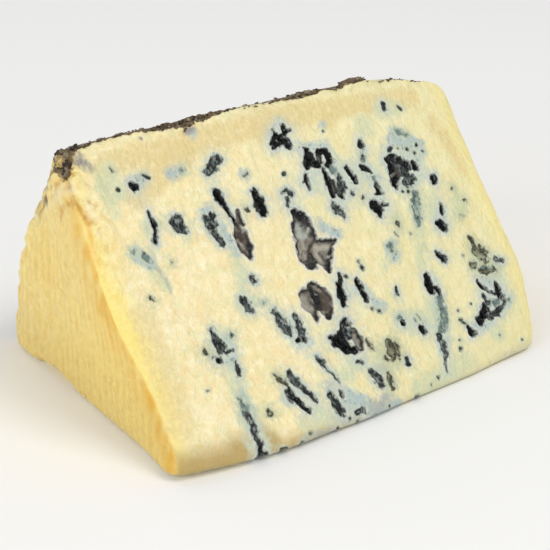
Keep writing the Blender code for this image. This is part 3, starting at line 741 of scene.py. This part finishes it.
def edgeFields(points, normals, fields):
    # the arris between the left end and the cut face with its crease and melted paste, the orange
    # stains, and the painted shade on the roll at the front
    x, _, z = points.T
    climb = points @ upFace
    onCut, onEnd = fields["onCut"], fields["endFace"]
    drift = noiseSum(points, edges["drift"])
    fromLine = x - keyed(arrisLine, climb) + 0.4 * drift
    crease = bell(fromLine, edges["creaseWidth"]) * ramp(42, 54, climb) * onCut
    melt = bell(fromLine - 2.0, edges["meltWidth"]) * ramp(32, 50, climb) * (1 - fields["crust"])

    left, right = edges["ends"]
    fromEnd = np.minimum(x - left, right - x) + drift
    arris = bell(np.maximum(fromEnd - 1.0, 0), edges["arrisWidth"]) * onCut
    arris *= np.where(x > 0, edges["arrisRight"], np.interp(climb, (10, 34), (0.7, 1.0)))

    deep = np.maximum(-(points @ offFace) + 2 * drift, 0)
    warm = keyed(warmLine, climb) * bell(deep, edges["warmWidth"])
    for place, size, strength in warmSpots:
        warm += strength * around(points, place, size)
    warm *= onEnd * (0.8 + 1.2 * noiseField(points * (1, 1, 0.35), 1.8, 40.0))
    warm *= np.where(x > 0, edges["warmRight"], 1.0)

    # painted shade where the face rolls under and turns downwards, and darker towards the floor low on the
    # left end
    belowRoll = keyed(rollLine, x) - climb + 0.5 * drift
    rollShade = ramp(-0.3, edges["rollShadeWidth"], belowRoll)
    rollShade *= ramp(-0.98, -0.6, normals[:, 2]) * (1 - onEnd)
    rollShade = np.maximum(rollShade, edges["rollShadeLeft"] * onEnd * (x < 0) * ramp(22, 4, z))
    rollFold = bell(belowRoll - 0.3, 0.5) * ramp(-26.0, -32.0, x) * onCut
    return {"arris": arris, "arrisCrease": crease, "melt": melt, "warm": np.clip(warm + crease, 0, 1),
            "frontRollShade": rollShade, "rollFold": rollFold}


def rindFlakes(points, normals):
    # thin dark flakes of rind along the ends' upper edges
    out = np.linalg.norm(points * (0, 1, 1), axis=1)
    angle = np.degrees(np.arctan2(points[:, 2], points[:, 1]))
    places = np.column_stack((out, angle, points[:, 0])) / flakes["size"]
    shown = ramp(-0.08, 0.12, noiseField(places, 1.0, 60.0))
    shown *= 1 - ramp(*flakes["reach"], np.abs(flakes["radius"] - out))
    return shown * ramp(*flakes["angles"], angle) * ramp(0.15, 0.4, np.abs(normals[:, 0]))


def clothWave(points):
    sway = noiseField(points * (1, 1, 0.25), 6.0, 8.0)
    wave = np.sin(2 * math.pi * points[:, 1] / relief["ridge"][0] + 3.5 * sway)
    return wave * ramp(-0.35, 0.35, noiseField(points, 7.0, 4.0) + 0.02 * (26 - points[:, 2]))


def reliefMove(points, normals, fields, wave):
    # how far each point moves outwards
    onCut, onEnd, depth = fields["onCut"], fields["endFace"], fields["depth"]
    onBase = ramp(0.3, 0.9, -normals[:, 2])
    climb = points @ upFace
    dragged = np.column_stack((points[:, 0] + 0.02 * climb, climb * 0.16, points[:, 1] * 0.1))
    move = relief["drag"] * noiseField(dragged, 1.0, 2.0) * onCut
    size, height = relief["dimple"]
    move += height * noiseField(points, size, 16.0) * np.maximum(onCut, onBase)
    size, height = relief["swell"]
    move += height * noiseField(points, size, 6.0) * (onCut + onEnd)
    move += relief["ridge"][1] * wave * onEnd
    size, height, lift = relief["melt"]
    move += fields["melt"] * (lift + height * noiseField(points, size, 17.0))
    move -= relief["meltGroove"] * fields["arrisCrease"] + relief["rollGroove"] * fields["rollFold"]
    height, sink = relief["lump"]
    lumps = height * noiseSum(points, relief["lumps"]) - sink
    move += np.maximum(fields["crust"], 0.5 * fields["rind"]) * lumps + fields["lift"] - depth
    fromEdge, width, height = relief["lip"]
    move += height * bell(fields["outline"] - fromEdge, width)
    return move * (1 - onBase * (depth < 0.01))      # only pockets are cut into the underside


def chipped(points):
    # push what is inside the chip's ellipsoid out to its surface
    centre, size = (np.array(values) for values in wedge["chip"])
    local = (points - centre) / size
    reach = np.linalg.norm(local, axis=1)[:, None]
    ragged = 1 + 0.25 * noiseField(points, 2.5, 50.0)[:, None]
    return np.where(reach < ragged, centre + local / (reach + 1e-6) * size * ragged, points)


def cutFiner(mesh, wanted):
    bm = bmesh.new()
    bm.from_mesh(mesh)
    bm.verts.ensure_lookup_table()
    chosen = [e for e in bm.edges if wanted[e.verts[0].index] and wanted[e.verts[1].index]]
    bmesh.ops.subdivide_edges(bm, edges=chosen, cuts=1, use_grid_fill=True)
    bmesh.ops.triangulate(bm, faces=[f for f in bm.faces if len(f.verts) > 4])
    bm.to_mesh(mesh)
    bm.free()


def addAttribute(mesh, name, values):
    if values.ndim == 1:
        layer = mesh.attributes.new(name, "FLOAT", "POINT")
        layer.data.foreach_set("value", values)
    else:
        layer = mesh.attributes.new(name, "FLOAT_COLOR", "POINT")
        colours = np.column_stack((values, np.ones(len(values))))
        layer.data.foreach_set("color", colours.ravel())


# the fields that the material paints with
painted = (
    "outline", "mouldToneAndShading", "black", "ragged", "lip", "dust", "stainTone", "stainAmount", "crust", "rind",
    "endFace", "arris", "warm", "melt", "flakes", "ridge", "frontRollShade", "corner", "cool",
)


def makeWedge():
    mesh = smoothWedge()
    points, normals = vertexArrays(mesh)
    tree = BVHTree.FromPolygons(points.tolist(), [p.vertices for p in mesh.polygons])
    placed = placedSpots(tree)
    edge = topEdge(points)
    for low, high, rim in relief["cuts"]:
        outline = mouldFields(points, placed)["outline"]
        near = crustFields(points, normals, edge)
        byRim = (near["below"] < rim) & (near["onCut"] > 0.1)
        cutFiner(mesh, ((outline > low) & (outline < high)) | byRim)
        points, normals = vertexArrays(mesh)
    print("wedge cut finer,", len(mesh.polygons), "faces")

    fields = mouldFields(points, placed)
    fields.update(crustFields(points, normals, edge))
    fields["endFace"] = ramp(0.5, 0.9, np.abs(normals[:, 0]))
    fields.update(edgeFields(points, normals, fields))
    fields["flakes"] = rindFlakes(points, normals)
    wave = clothWave(points)
    fields["ridge"] = 0.5 + 0.5 * wave

    points = points + normals * reliefMove(points, normals, fields, wave)[:, None]
    for place, size, push in wedge["pushes"]:
        points += around(points, place, size)[:, None] * np.array(push)
    points = chipped(points)
    points[:, 2] = np.maximum(points[:, 2] - wedge["flattening"], 0.0)
    points -= np.array((*wedge["middle"], 0))
    browned = facePlace(*crust["browned"]) - (0, wedge["middle"][1], 0)
    fields["corner"] = 1 - ramp(*crust["brownedReach"], np.linalg.norm(points - browned, axis=1))
    fields["cool"] = ramp(*edges["cool"], points[:, 0])
    mesh.vertices.foreach_set("co", (points * mm).ravel())
    for name in painted:
        addAttribute(mesh, name, fields[name])
    mesh.shade_smooth()
    body = bpy.data.objects.new("cheeseBody", mesh)
    bpy.context.scene.collection.objects.link(body)
    return body, tree, edge


# Crumbs of crust along the rim, thickest at the upper left corner

crumbs = {
    "ends": (-46.5, 41.5),      # along the rim
    "gap": 0.16,
    "outwards": (-2.0, 0.8),
    "lift": (-0.1, 0.15),
    "rim": {"width": (0.18, 0.42), "tone": (0.0, 0.8), "stretch": 2.2, "tumble": 0.3},
    "corner": {"width": (0.5, 1.2), "tone": (0.0, 1.5), "stretch": 1.3, "tumble": 2.0},
    "roundFrom": 0.35,      # wider ones are made of more faces
    "cornerCount": 46,
    "cornerPlace": (-47.8, 67.2),
    "cornerReach": 3.0,
    "seed": 5,
}


def addCrumb(bm, rng, centre, width, kind):
    # a flake stretched along the rim, then turned at random within the tumble
    tone = rng.uniform(*kind["tone"])
    detail = 2 if width > crumbs["roundFrom"] else 1
    made = bmesh.ops.create_icosphere(bm, subdivisions=detail, radius=width)
    squash = Vector((rng.uniform(1.0, kind["stretch"]), rng.uniform(0.6, 1.1), rng.uniform(0.5, 0.8)))
    turn = Euler([rng.gauss(0, kind["tumble"]) for _ in range(3)]).to_matrix()
    shift = Vector([rng.uniform(0, 50) for _ in range(3)])
    for vert in made["verts"]:
        lump = 1 + 0.5 * noise.noise(vert.co / width * 1.1 + shift)
        vert.co = turn @ (vert.co * squash * lump) + centre
        vert[bm.verts.layers.float["tone"]] = tone


def rimPlace(tree, edge, x, below, outwards):
    climb = np.interp(x, *edge) - below
    return tree.find_nearest(Vector(facePlace(x, climb) + offFace * outwards))[:2]


def makeCrumbs(tree, edge):
    rng = random.Random(crumbs["seed"])
    bm = bmesh.new()
    bm.verts.layers.float.new("tone")
    x, end = crumbs["ends"]
    while x < end:
        thickness, lift = (keyed(crustKeys, x, column) for column in (1, 2))
        width = rng.uniform(*crumbs["rim"]["width"]) * (0.7 + 0.3 * thickness)
        below = rng.uniform(-0.4, thickness * 0.9)
        place, normal = rimPlace(tree, edge, x, below, rng.uniform(*crumbs["outwards"]))
        centre = place + normal * (lift * 0.9 - 0.25 + rng.uniform(*crumbs["lift"]))
        if noise.noise(Vector((x / 3.0, 7.0, 0))) > -0.25 or thickness > 1.2:
            addCrumb(bm, rng, centre, width, crumbs["rim"])
        x += crumbs["gap"] * rng.uniform(0.4, 1.6) / (0.4 + 0.6 * thickness)
    corner = Vector(facePlace(*crumbs["cornerPlace"]))
    for _ in range(crumbs["cornerCount"]):
        turn = Vector([rng.gauss(0, 1) for _ in range(3)]).normalized()
        place, normal = tree.find_nearest(corner + turn * crumbs["cornerReach"] * rng.random() ** 0.5)[:2]
        width = rng.uniform(*crumbs["corner"]["width"])
        addCrumb(bm, rng, place - normal * width * 0.1, width, crumbs["corner"])
    bmesh.ops.translate(bm, verts=bm.verts, vec=-Vector((*wedge["middle"], wedge["flattening"])))
    bmesh.ops.scale(bm, verts=bm.verts, vec=(mm, mm, mm))
    mesh = bpy.data.meshes.new("rindCrust")
    bm.to_mesh(mesh)
    bm.free()
    mesh.shade_smooth()
    pieces = bpy.data.objects.new("rindCrust", mesh)
    bpy.context.scene.collection.objects.link(pieces)
    print("crumbs of crust,", len(mesh.polygons), "faces")
    return pieces


# Materials

class Nodes:
    # builds one material; numbers, colours and other nodes' outputs can all feed a socket

    def __init__(self, name):
        self.material = bpy.data.materials.new(name)
        self.material.use_nodes = True
        self.tree = self.material.node_tree
        self.shader = self.tree.nodes["Principled BSDF"]

    def add(self, kind, **settings):
        made = self.tree.nodes.new(kind)
        for name, value in settings.items():
            setattr(made, name, value)
        return made

    def feed(self, socket, value):
        if isinstance(value, bpy.types.NodeSocket):
            self.tree.links.new(value, socket)
        elif isinstance(value, tuple) and socket.type == "RGBA":
            socket.default_value = (*value, 1.0)
        else:
            socket.default_value = value

    def calculate(self, operation, *values, clamp=False):
        made = self.add("ShaderNodeMath", operation=operation, use_clamp=clamp)
        for socket, value in zip(made.inputs, values):
            self.feed(socket, value)
        return made.outputs[0]

    def times(self, first, second):
        return self.calculate("MULTIPLY", first, second)

    def plus(self, first, second):
        return self.calculate("ADD", first, second)

    def most(self, first, second):
        return self.calculate("MAXIMUM", first, second)

    def step(self, value, low, high):
        made = self.add("ShaderNodeMapRange", interpolation_type="SMOOTHSTEP")
        self.feed(made.inputs["From Min"], low)
        self.feed(made.inputs["From Max"], high)
        self.feed(made.inputs["Value"], value)
        return made.outputs["Result"]

    def mix(self, share, first, second):
        made = self.add("ShaderNodeMix", data_type="RGBA")
        for index, value in ((0, share), (6, first), (7, second)):
            self.feed(made.inputs[index], value)
        return made.outputs[2]

    def tint(self, colour, mask, name, shade=None):
        # cover the colour where the mask says, with the paste's colour of that name or another shade
        return self.mix(self.times(mask, cover[name]), colour, shade or paste[name])

    def attribute(self, name, output="Fac"):
        return self.add("ShaderNodeAttribute", attribute_name=name).outputs[output]

    def grain(self, name):
        # one of the grains, on Object coordinates turned so that Y runs up the cut face
        grain = grains[name]
        seed = grain.get("seed", 0.0)
        place = self.add("ShaderNodeTexCoord")
        mapping = self.add("ShaderNodeMapping", vector_type="TEXTURE")
        mapping.inputs["Rotation"].default_value = (wedge["angle"], 0, 0)
        mapping.inputs["Scale"].default_value = grain.get("stretch", (1, 1, 1))
        mapping.inputs["Location"].default_value = (seed, seed * 0.7, seed * 1.3)
        texture = self.add("ShaderNodeTexNoise")
        texture.inputs["Scale"].default_value = 1.0 / (grain["size"] * mm)
        texture.inputs["Detail"].default_value = grain.get("detail", 3.0)
        texture.inputs["Roughness"].default_value = grain.get("roughness", 0.55)
        texture.inputs["Distortion"].default_value = grain.get("swirl", 0.0)
        self.feed(mapping.inputs["Vector"], place.outputs["Object"])
        self.feed(texture.inputs["Vector"], mapping.outputs["Vector"])
        value = texture.outputs["Fac"]
        return self.step(value, *grain["steps"]) if "steps" in grain else value

    def bump(self, height, distance):
        made = self.add("ShaderNodeBump")
        made.inputs["Strength"].default_value = 1.0
        made.inputs["Distance"].default_value = distance
        self.feed(made.inputs["Height"], height)
        self.feed(self.shader.inputs["Normal"], made.outputs["Normal"])


# noise in the materials, sized in millimetres; steps is the range that goes from none to full
grains = {
    "broad": dict(size=12.0, detail=2.0, steps=(0.35, 0.65)),
    "cloud": dict(size=4.5, detail=4.0, roughness=0.6, seed=0.3, swirl=0.6, steps=(0.42, 0.66)),
    "tint": dict(size=2.6, seed=0.9, swirl=0.4, steps=(0.46, 0.66)),
    "fibre": dict(size=0.9, stretch=(1, 3, 2), seed=0.5, swirl=0.4),
    "curd": dict(size=1.3, roughness=0.6, stretch=(1, 1.3, 1), seed=1.4, swirl=0.5),
    "lines": dict(size=1.1, stretch=(1, 1, 2.4), seed=0.2),
    "folds": dict(size=1.6, stretch=(1, 1.5, 1), seed=2.9, swirl=0.6, steps=(0.30, 0.62)),
    "powder": dict(size=0.8, detail=4.0, roughness=0.7, stretch=(1, 1.6, 1), seed=0.4),
    "pepper": dict(size=0.62, detail=2.0, stretch=(1, 1.5, 1), seed=3.1, steps=(0.57, 0.68)),
    "ragged": dict(size=0.6, roughness=0.65, stretch=(1, 1.7, 1), seed=0.8),
    "coarse": dict(size=1.5, detail=2.0, stretch=(1, 1.7, 1), seed=1.8),
    "streak": dict(size=0.55, roughness=0.65, stretch=(1, 2.6, 1), seed=1.2),
    "glint": dict(size=0.5, detail=2.0, stretch=(1, 3, 1), seed=2.6, steps=(0.61, 0.73)),
    "crust": dict(size=0.8, detail=4.0, roughness=0.75, seed=1.6),
    "rind": dict(size=7.0, detail=5.0, roughness=0.65, seed=4.0, steps=(0.36, 0.64)),
    "bloom": dict(size=2.6, detail=6.0, roughness=0.7, seed=4.4, steps=(0.46, 0.74)),
    "blue": dict(size=3.6, detail=4.0, roughness=0.6, seed=5.0, steps=(0.54, 0.72)),
    "pores": dict(size=0.8, detail=4.0, roughness=0.8, seed=5.6, steps=(0.46, 0.32)),
    "fine": dict(size=0.7, roughness=0.6, seed=2.4),
    "knead": dict(size=2.4, stretch=(1, 1.6, 1), seed=3.6, swirl=0.5),
    "grit": dict(size=0.35, roughness=0.7, seed=2.8),
    "mottle": dict(size=0.7, roughness=0.7, seed=6.0),
}

paste = {
    "cream": srgb(245, 231, 184),
    "butter": srgb(242, 224, 160),
    "peach": srgb(242, 219, 166),
    "green": srgb(224, 226, 176),
    "light": srgb(252, 243, 206),
    "deep": srgb(232, 212, 148),
    "cool": srgb(222, 219, 166),
    "melted": srgb(253, 238, 178),
    "meltedDeep": srgb(226, 190, 106),
    "flake": srgb(78, 60, 52),
    # a painted highlight on the pockets' raised lip
    "lip": srgb(246, 243, 228),
    "arris": srgb(250, 229, 124),
    "end": srgb(249, 222, 128),
    "endDeep": srgb(232, 201, 109),
    "endPale": srgb(247, 221, 140),
    "warm": srgb(234, 176, 26),
    # painted shade on the downturned front roll, greyer where the paste is cool
    "rollShade": srgb(178, 150, 80),
    "rollShadeCool": srgb(156, 164, 166),
    "pepper": srgb(112, 132, 130),
    "streak": srgb(14, 17, 17),
    # painted glints of light inside the mould
    "glint": srgb(160, 170, 166),
}

rind = {
    "dark": srgb(38, 32, 26),
    "brown": srgb(110, 91, 63),
    "grey": srgb(136, 128, 115),
    "tan": srgb(156, 133, 84),
    "straw": srgb(206, 184, 118),
    "umber": srgb(120, 106, 84),
    "buff": srgb(160, 146, 115),
    "rust": srgb(140, 111, 66),
    "bloom": srgb(196, 192, 178),
    "blue": srgb(120, 134, 136),
}

# how strongly each tint covers what is under it
cover = {
    "butter": 0.5, "peach": 0.5, "green": 0.5, "brushed": 0.35, "light": 0.65, "deep": 0.55, "cool": 0.5,
    "arris": 0.85, "endPale": 0.5, "warm": 0.85, "rollShade": 0.85, "melted": 0.6, "flake": 0.85,
    "pepper": 0.7, "lip": 0.9, "fringe": 0.85, "glint": 0.7, "bloom": 0.8, "blue": 0.45, "pores": 0.75,
    "rust": 0.6,
}

surface = {
    "paste": 0.40,      # roughness
    "cloud": 0.12,      # more of it on the clouds and stains, less inside the mould
    "stain": 0.15,
    "inside": 0.16,
    "dry": 0.85,
    "heights": {"fine": 0.06, "fibre": 0.09, "knead": 0.72, "curd": 0.20, "grit": 0.22},
    "crumbHeight": 0.3,      # heights are in millimetres
    "depth": (1.0, 0.7, 0.35),
    "depthScale": 0.0015,
    "depthShare": 0.2,
    "shine": 0.5,
}


def crustColours(make, tone):
    colour = rind["dark"]
    steps = (("brown", 0.34, 0.50), ("grey", 0.53, 0.60), ("tan", 0.61, 0.66), ("straw", 0.70, 0.78))
    for name, low, high in steps:
        colour = make.mix(make.step(tone, low, high), colour, rind[name])
    return colour


def rindColours(make):
    colour = make.mix(make.grain("rind"), rind["umber"], rind["buff"])
    for name, shade in (("bloom", "bloom"), ("blue", "blue"), ("pores", "dark")):
        colour = make.tint(colour, make.grain(name), name, rind[shade])
    return colour


def cheeseMaterial():
    make = Nodes("cheesePaste")
    times, plus, step, mix, tint = make.times, make.plus, make.step, make.mix, make.tint
    attribute, grain = make.attribute, make.grain

    # the paste: cream with buttery, peach and green clouds and paler curds, brushed up the face
    cloud, fibre, curd, cool = grain("cloud"), grain("fibre"), grain("curd"), attribute("cool")
    colour = tint(paste["cream"], grain("broad"), "butter")
    colour = tint(colour, cloud, "peach")
    colour = tint(colour, grain("tint"), "green")
    colour = tint(colour, step(fibre, 0.50, 0.70), "brushed", paste["butter"])
    colour = tint(colour, step(curd, 0.52, 0.68), "light")
    colour = tint(colour, step(curd, 0.46, 0.30), "deep")
    colour = tint(colour, cool, "cool")

    # the bright arris, the deeper ends, painted shade on the front roll and the melted paste
    colour = tint(colour, attribute("arris"), "arris")
    ridges = plus(times(attribute("ridge"), 0.45), times(grain("lines"), 0.8))
    endColour = mix(step(ridges, 0.35, 0.85), paste["endDeep"], paste["end"])
    colour = mix(attribute("endFace"), colour, tint(endColour, cloud, "endPale"))
    colour = tint(colour, attribute("warm"), "warm")
    colour = tint(colour, attribute("frontRollShade"), "rollShade", mix(cool, paste["rollShade"], paste["rollShadeCool"]))
    melted = mix(grain("folds"), paste["meltedDeep"], paste["melted"])
    colour = tint(colour, attribute("melt"), "melted", melted)
    colour = tint(colour, attribute("flakes"), "flake")

    # pale stains and specks round the mould
    powder, amount = grain("powder"), attribute("stainAmount")
    stainTone, mouldToneAndShading = attribute("stainTone", "Color"), attribute("mouldToneAndShading", "Color")
    spread = plus(times(plus(powder, -0.5), 2.4), plus(times(amount, 1.15), -0.08))
    spread = times(make.calculate("MINIMUM", spread, 0.95, clamp=True), step(amount, 0.0, 0.3))
    colour = mix(spread, colour, stainTone)
    colour = tint(colour, times(grain("pepper"), step(attribute("dust"), 0.35, 0.75)), "pepper")

    # the mould itself, with a ragged edge, dark streaks and painted glints of light
    ragged = plus(grain("ragged"), -0.5)
    tears = plus(times(ragged, 1.5), times(plus(grain("coarse"), -0.5), 1.4))
    outline = plus(attribute("outline"), times(attribute("ragged"), tears))
    # a pale rim on the raised lip, a painted highlight
    lip = times(step(outline, 0.55, 0.25), attribute("lip"))
    colour = tint(colour, times(lip, powder), "lip")
    colour = tint(colour, step(outline, 0.38, -0.05), "fringe", mix(0.45, stainTone, mouldToneAndShading))
    inside = step(outline, 0.06, -0.28)
    dark = plus(grain("streak"), plus(times(attribute("black"), 0.5), -0.25))
    mouldColour = mix(step(dark, 0.43, 0.58), mouldToneAndShading, paste["streak"])
    colour = mix(inside, colour, tint(mouldColour, grain("glint"), "glint"))

    # the rind and the dark crust beside the rim
    onRind, corner = attribute("rind"), attribute("corner")
    colour = mix(onRind, colour, rindColours(make))
    crustShown = step(plus(attribute("crust"), times(ragged, 1.4)), 0.30, 0.70)
    crustColour = crustColours(make, plus(grain("crust"), times(corner, 0.16)))
    colour = mix(crustShown, colour, tint(crustColour, corner, "rust", rind["rust"]))

    dry = make.most(crustShown, onRind)
    rough = plus(times(cloud, surface["cloud"]), surface["paste"])
    rough = plus(rough, times(spread, surface["stain"]))
    rough = make.calculate("SUBTRACT", rough, times(inside, surface["inside"]))
    rough = make.most(rough, times(dry, surface["dry"]))

    bumps = {"fine": grain("fine"), "fibre": fibre, "knead": grain("knead"), "curd": curd}
    bumps["grit"] = times(grain("grit"), make.most(inside, dry))
    height = 0.0
    for name, value in bumps.items():
        height = plus(height, times(value, surface["heights"][name] * mm))
    make.bump(height, 1.0)

    for name, value in (
        ("Base Color", colour), ("Roughness", rough), ("Subsurface Weight", surface["depthShare"]),
        ("Subsurface Radius", surface["depth"]), ("Subsurface Scale", surface["depthScale"]),
        ("Specular IOR Level", surface["shine"]),
    ):
        make.feed(make.shader.inputs[name], value)
    return make.material


def crumbMaterial():
    make = Nodes("rindCrust")
    mottle = make.grain("mottle")
    tone = make.calculate("MULTIPLY_ADD", make.attribute("tone"), 0.34, 0.06)
    tone = make.calculate("MULTIPLY_ADD", mottle, 0.6, tone)
    make.feed(make.shader.inputs["Base Color"], crustColours(make, tone))
    make.feed(make.shader.inputs["Roughness"], surface["dry"])
    make.bump(mottle, surface["crumbHeight"] * mm)
    return make.material


# Stage and lights

stage = {"size": 1.5, "colour": (0.92, 0.92, 0.91, 1), "roughness": 0.9, "daylight": 0.55}

lamps = (
    # name, place, size, power, colour
    ("key", (0.25, -0.45, 0.75), 0.40, 2.95, (1.0, 0.99, 0.97)),
    ("fill", (-0.65, -0.20, 0.30), 0.50, 1.5, (1.0, 1.0, 1.0)),
    ("back", (-0.15, 0.55, 0.50), 0.40, 0.6, (1.0, 1.0, 1.0)),
)


def addStage():
    bm = bmesh.new()
    bmesh.ops.create_grid(bm, x_segments=1, y_segments=1, size=stage["size"])
    mesh = bpy.data.meshes.new("floor")
    bm.to_mesh(mesh)
    bm.free()
    floor = bpy.data.objects.new("floor", mesh)
    bpy.context.scene.collection.objects.link(floor)
    material = bpy.data.materials.new("floorPale")
    material.use_nodes = True
    shader = material.node_tree.nodes["Principled BSDF"]
    shader.inputs["Base Color"].default_value = stage["colour"]
    shader.inputs["Roughness"].default_value = stage["roughness"]
    mesh.materials.append(material)


def addLights():
    for name, place, size, power, colour in lamps:
        data = bpy.data.lights.new(name, "AREA")
        data.size = size
        data.energy = power
        data.color = colour
        lamp = bpy.data.objects.new(name, data)
        lamp.location = place
        toward = Vector((0, 0, 0.02)) - Vector(place)
        lamp.rotation_euler = toward.to_track_quat("-Z", "Y").to_euler()
        bpy.context.scene.collection.objects.link(lamp)
    world = bpy.data.worlds.new("world")
    world.use_nodes = True
    background = world.node_tree.nodes["Background"]
    background.inputs["Color"].default_value = (1.0, 1.0, 1.0, 1)
    background.inputs["Strength"].default_value = stage["daylight"]
    bpy.context.scene.world = world


bpy.context.scene.view_settings.view_transform = "Standard"
addCamera()
addStage()
addLights()
cheeseBody, smoothTree, rimEdge = makeWedge()
cheeseBody.data.materials.append(cheeseMaterial())
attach(cheeseBody, "root")
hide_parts("cheese_wedge")
print("wedge done", len(cheeseBody.data.vertices), "vertices")

rindCrust = makeCrumbs(smoothTree, rimEdge)
rindCrust.data.materials.append(crumbMaterial())
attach(rindCrust, "root")
print("rind crust done")
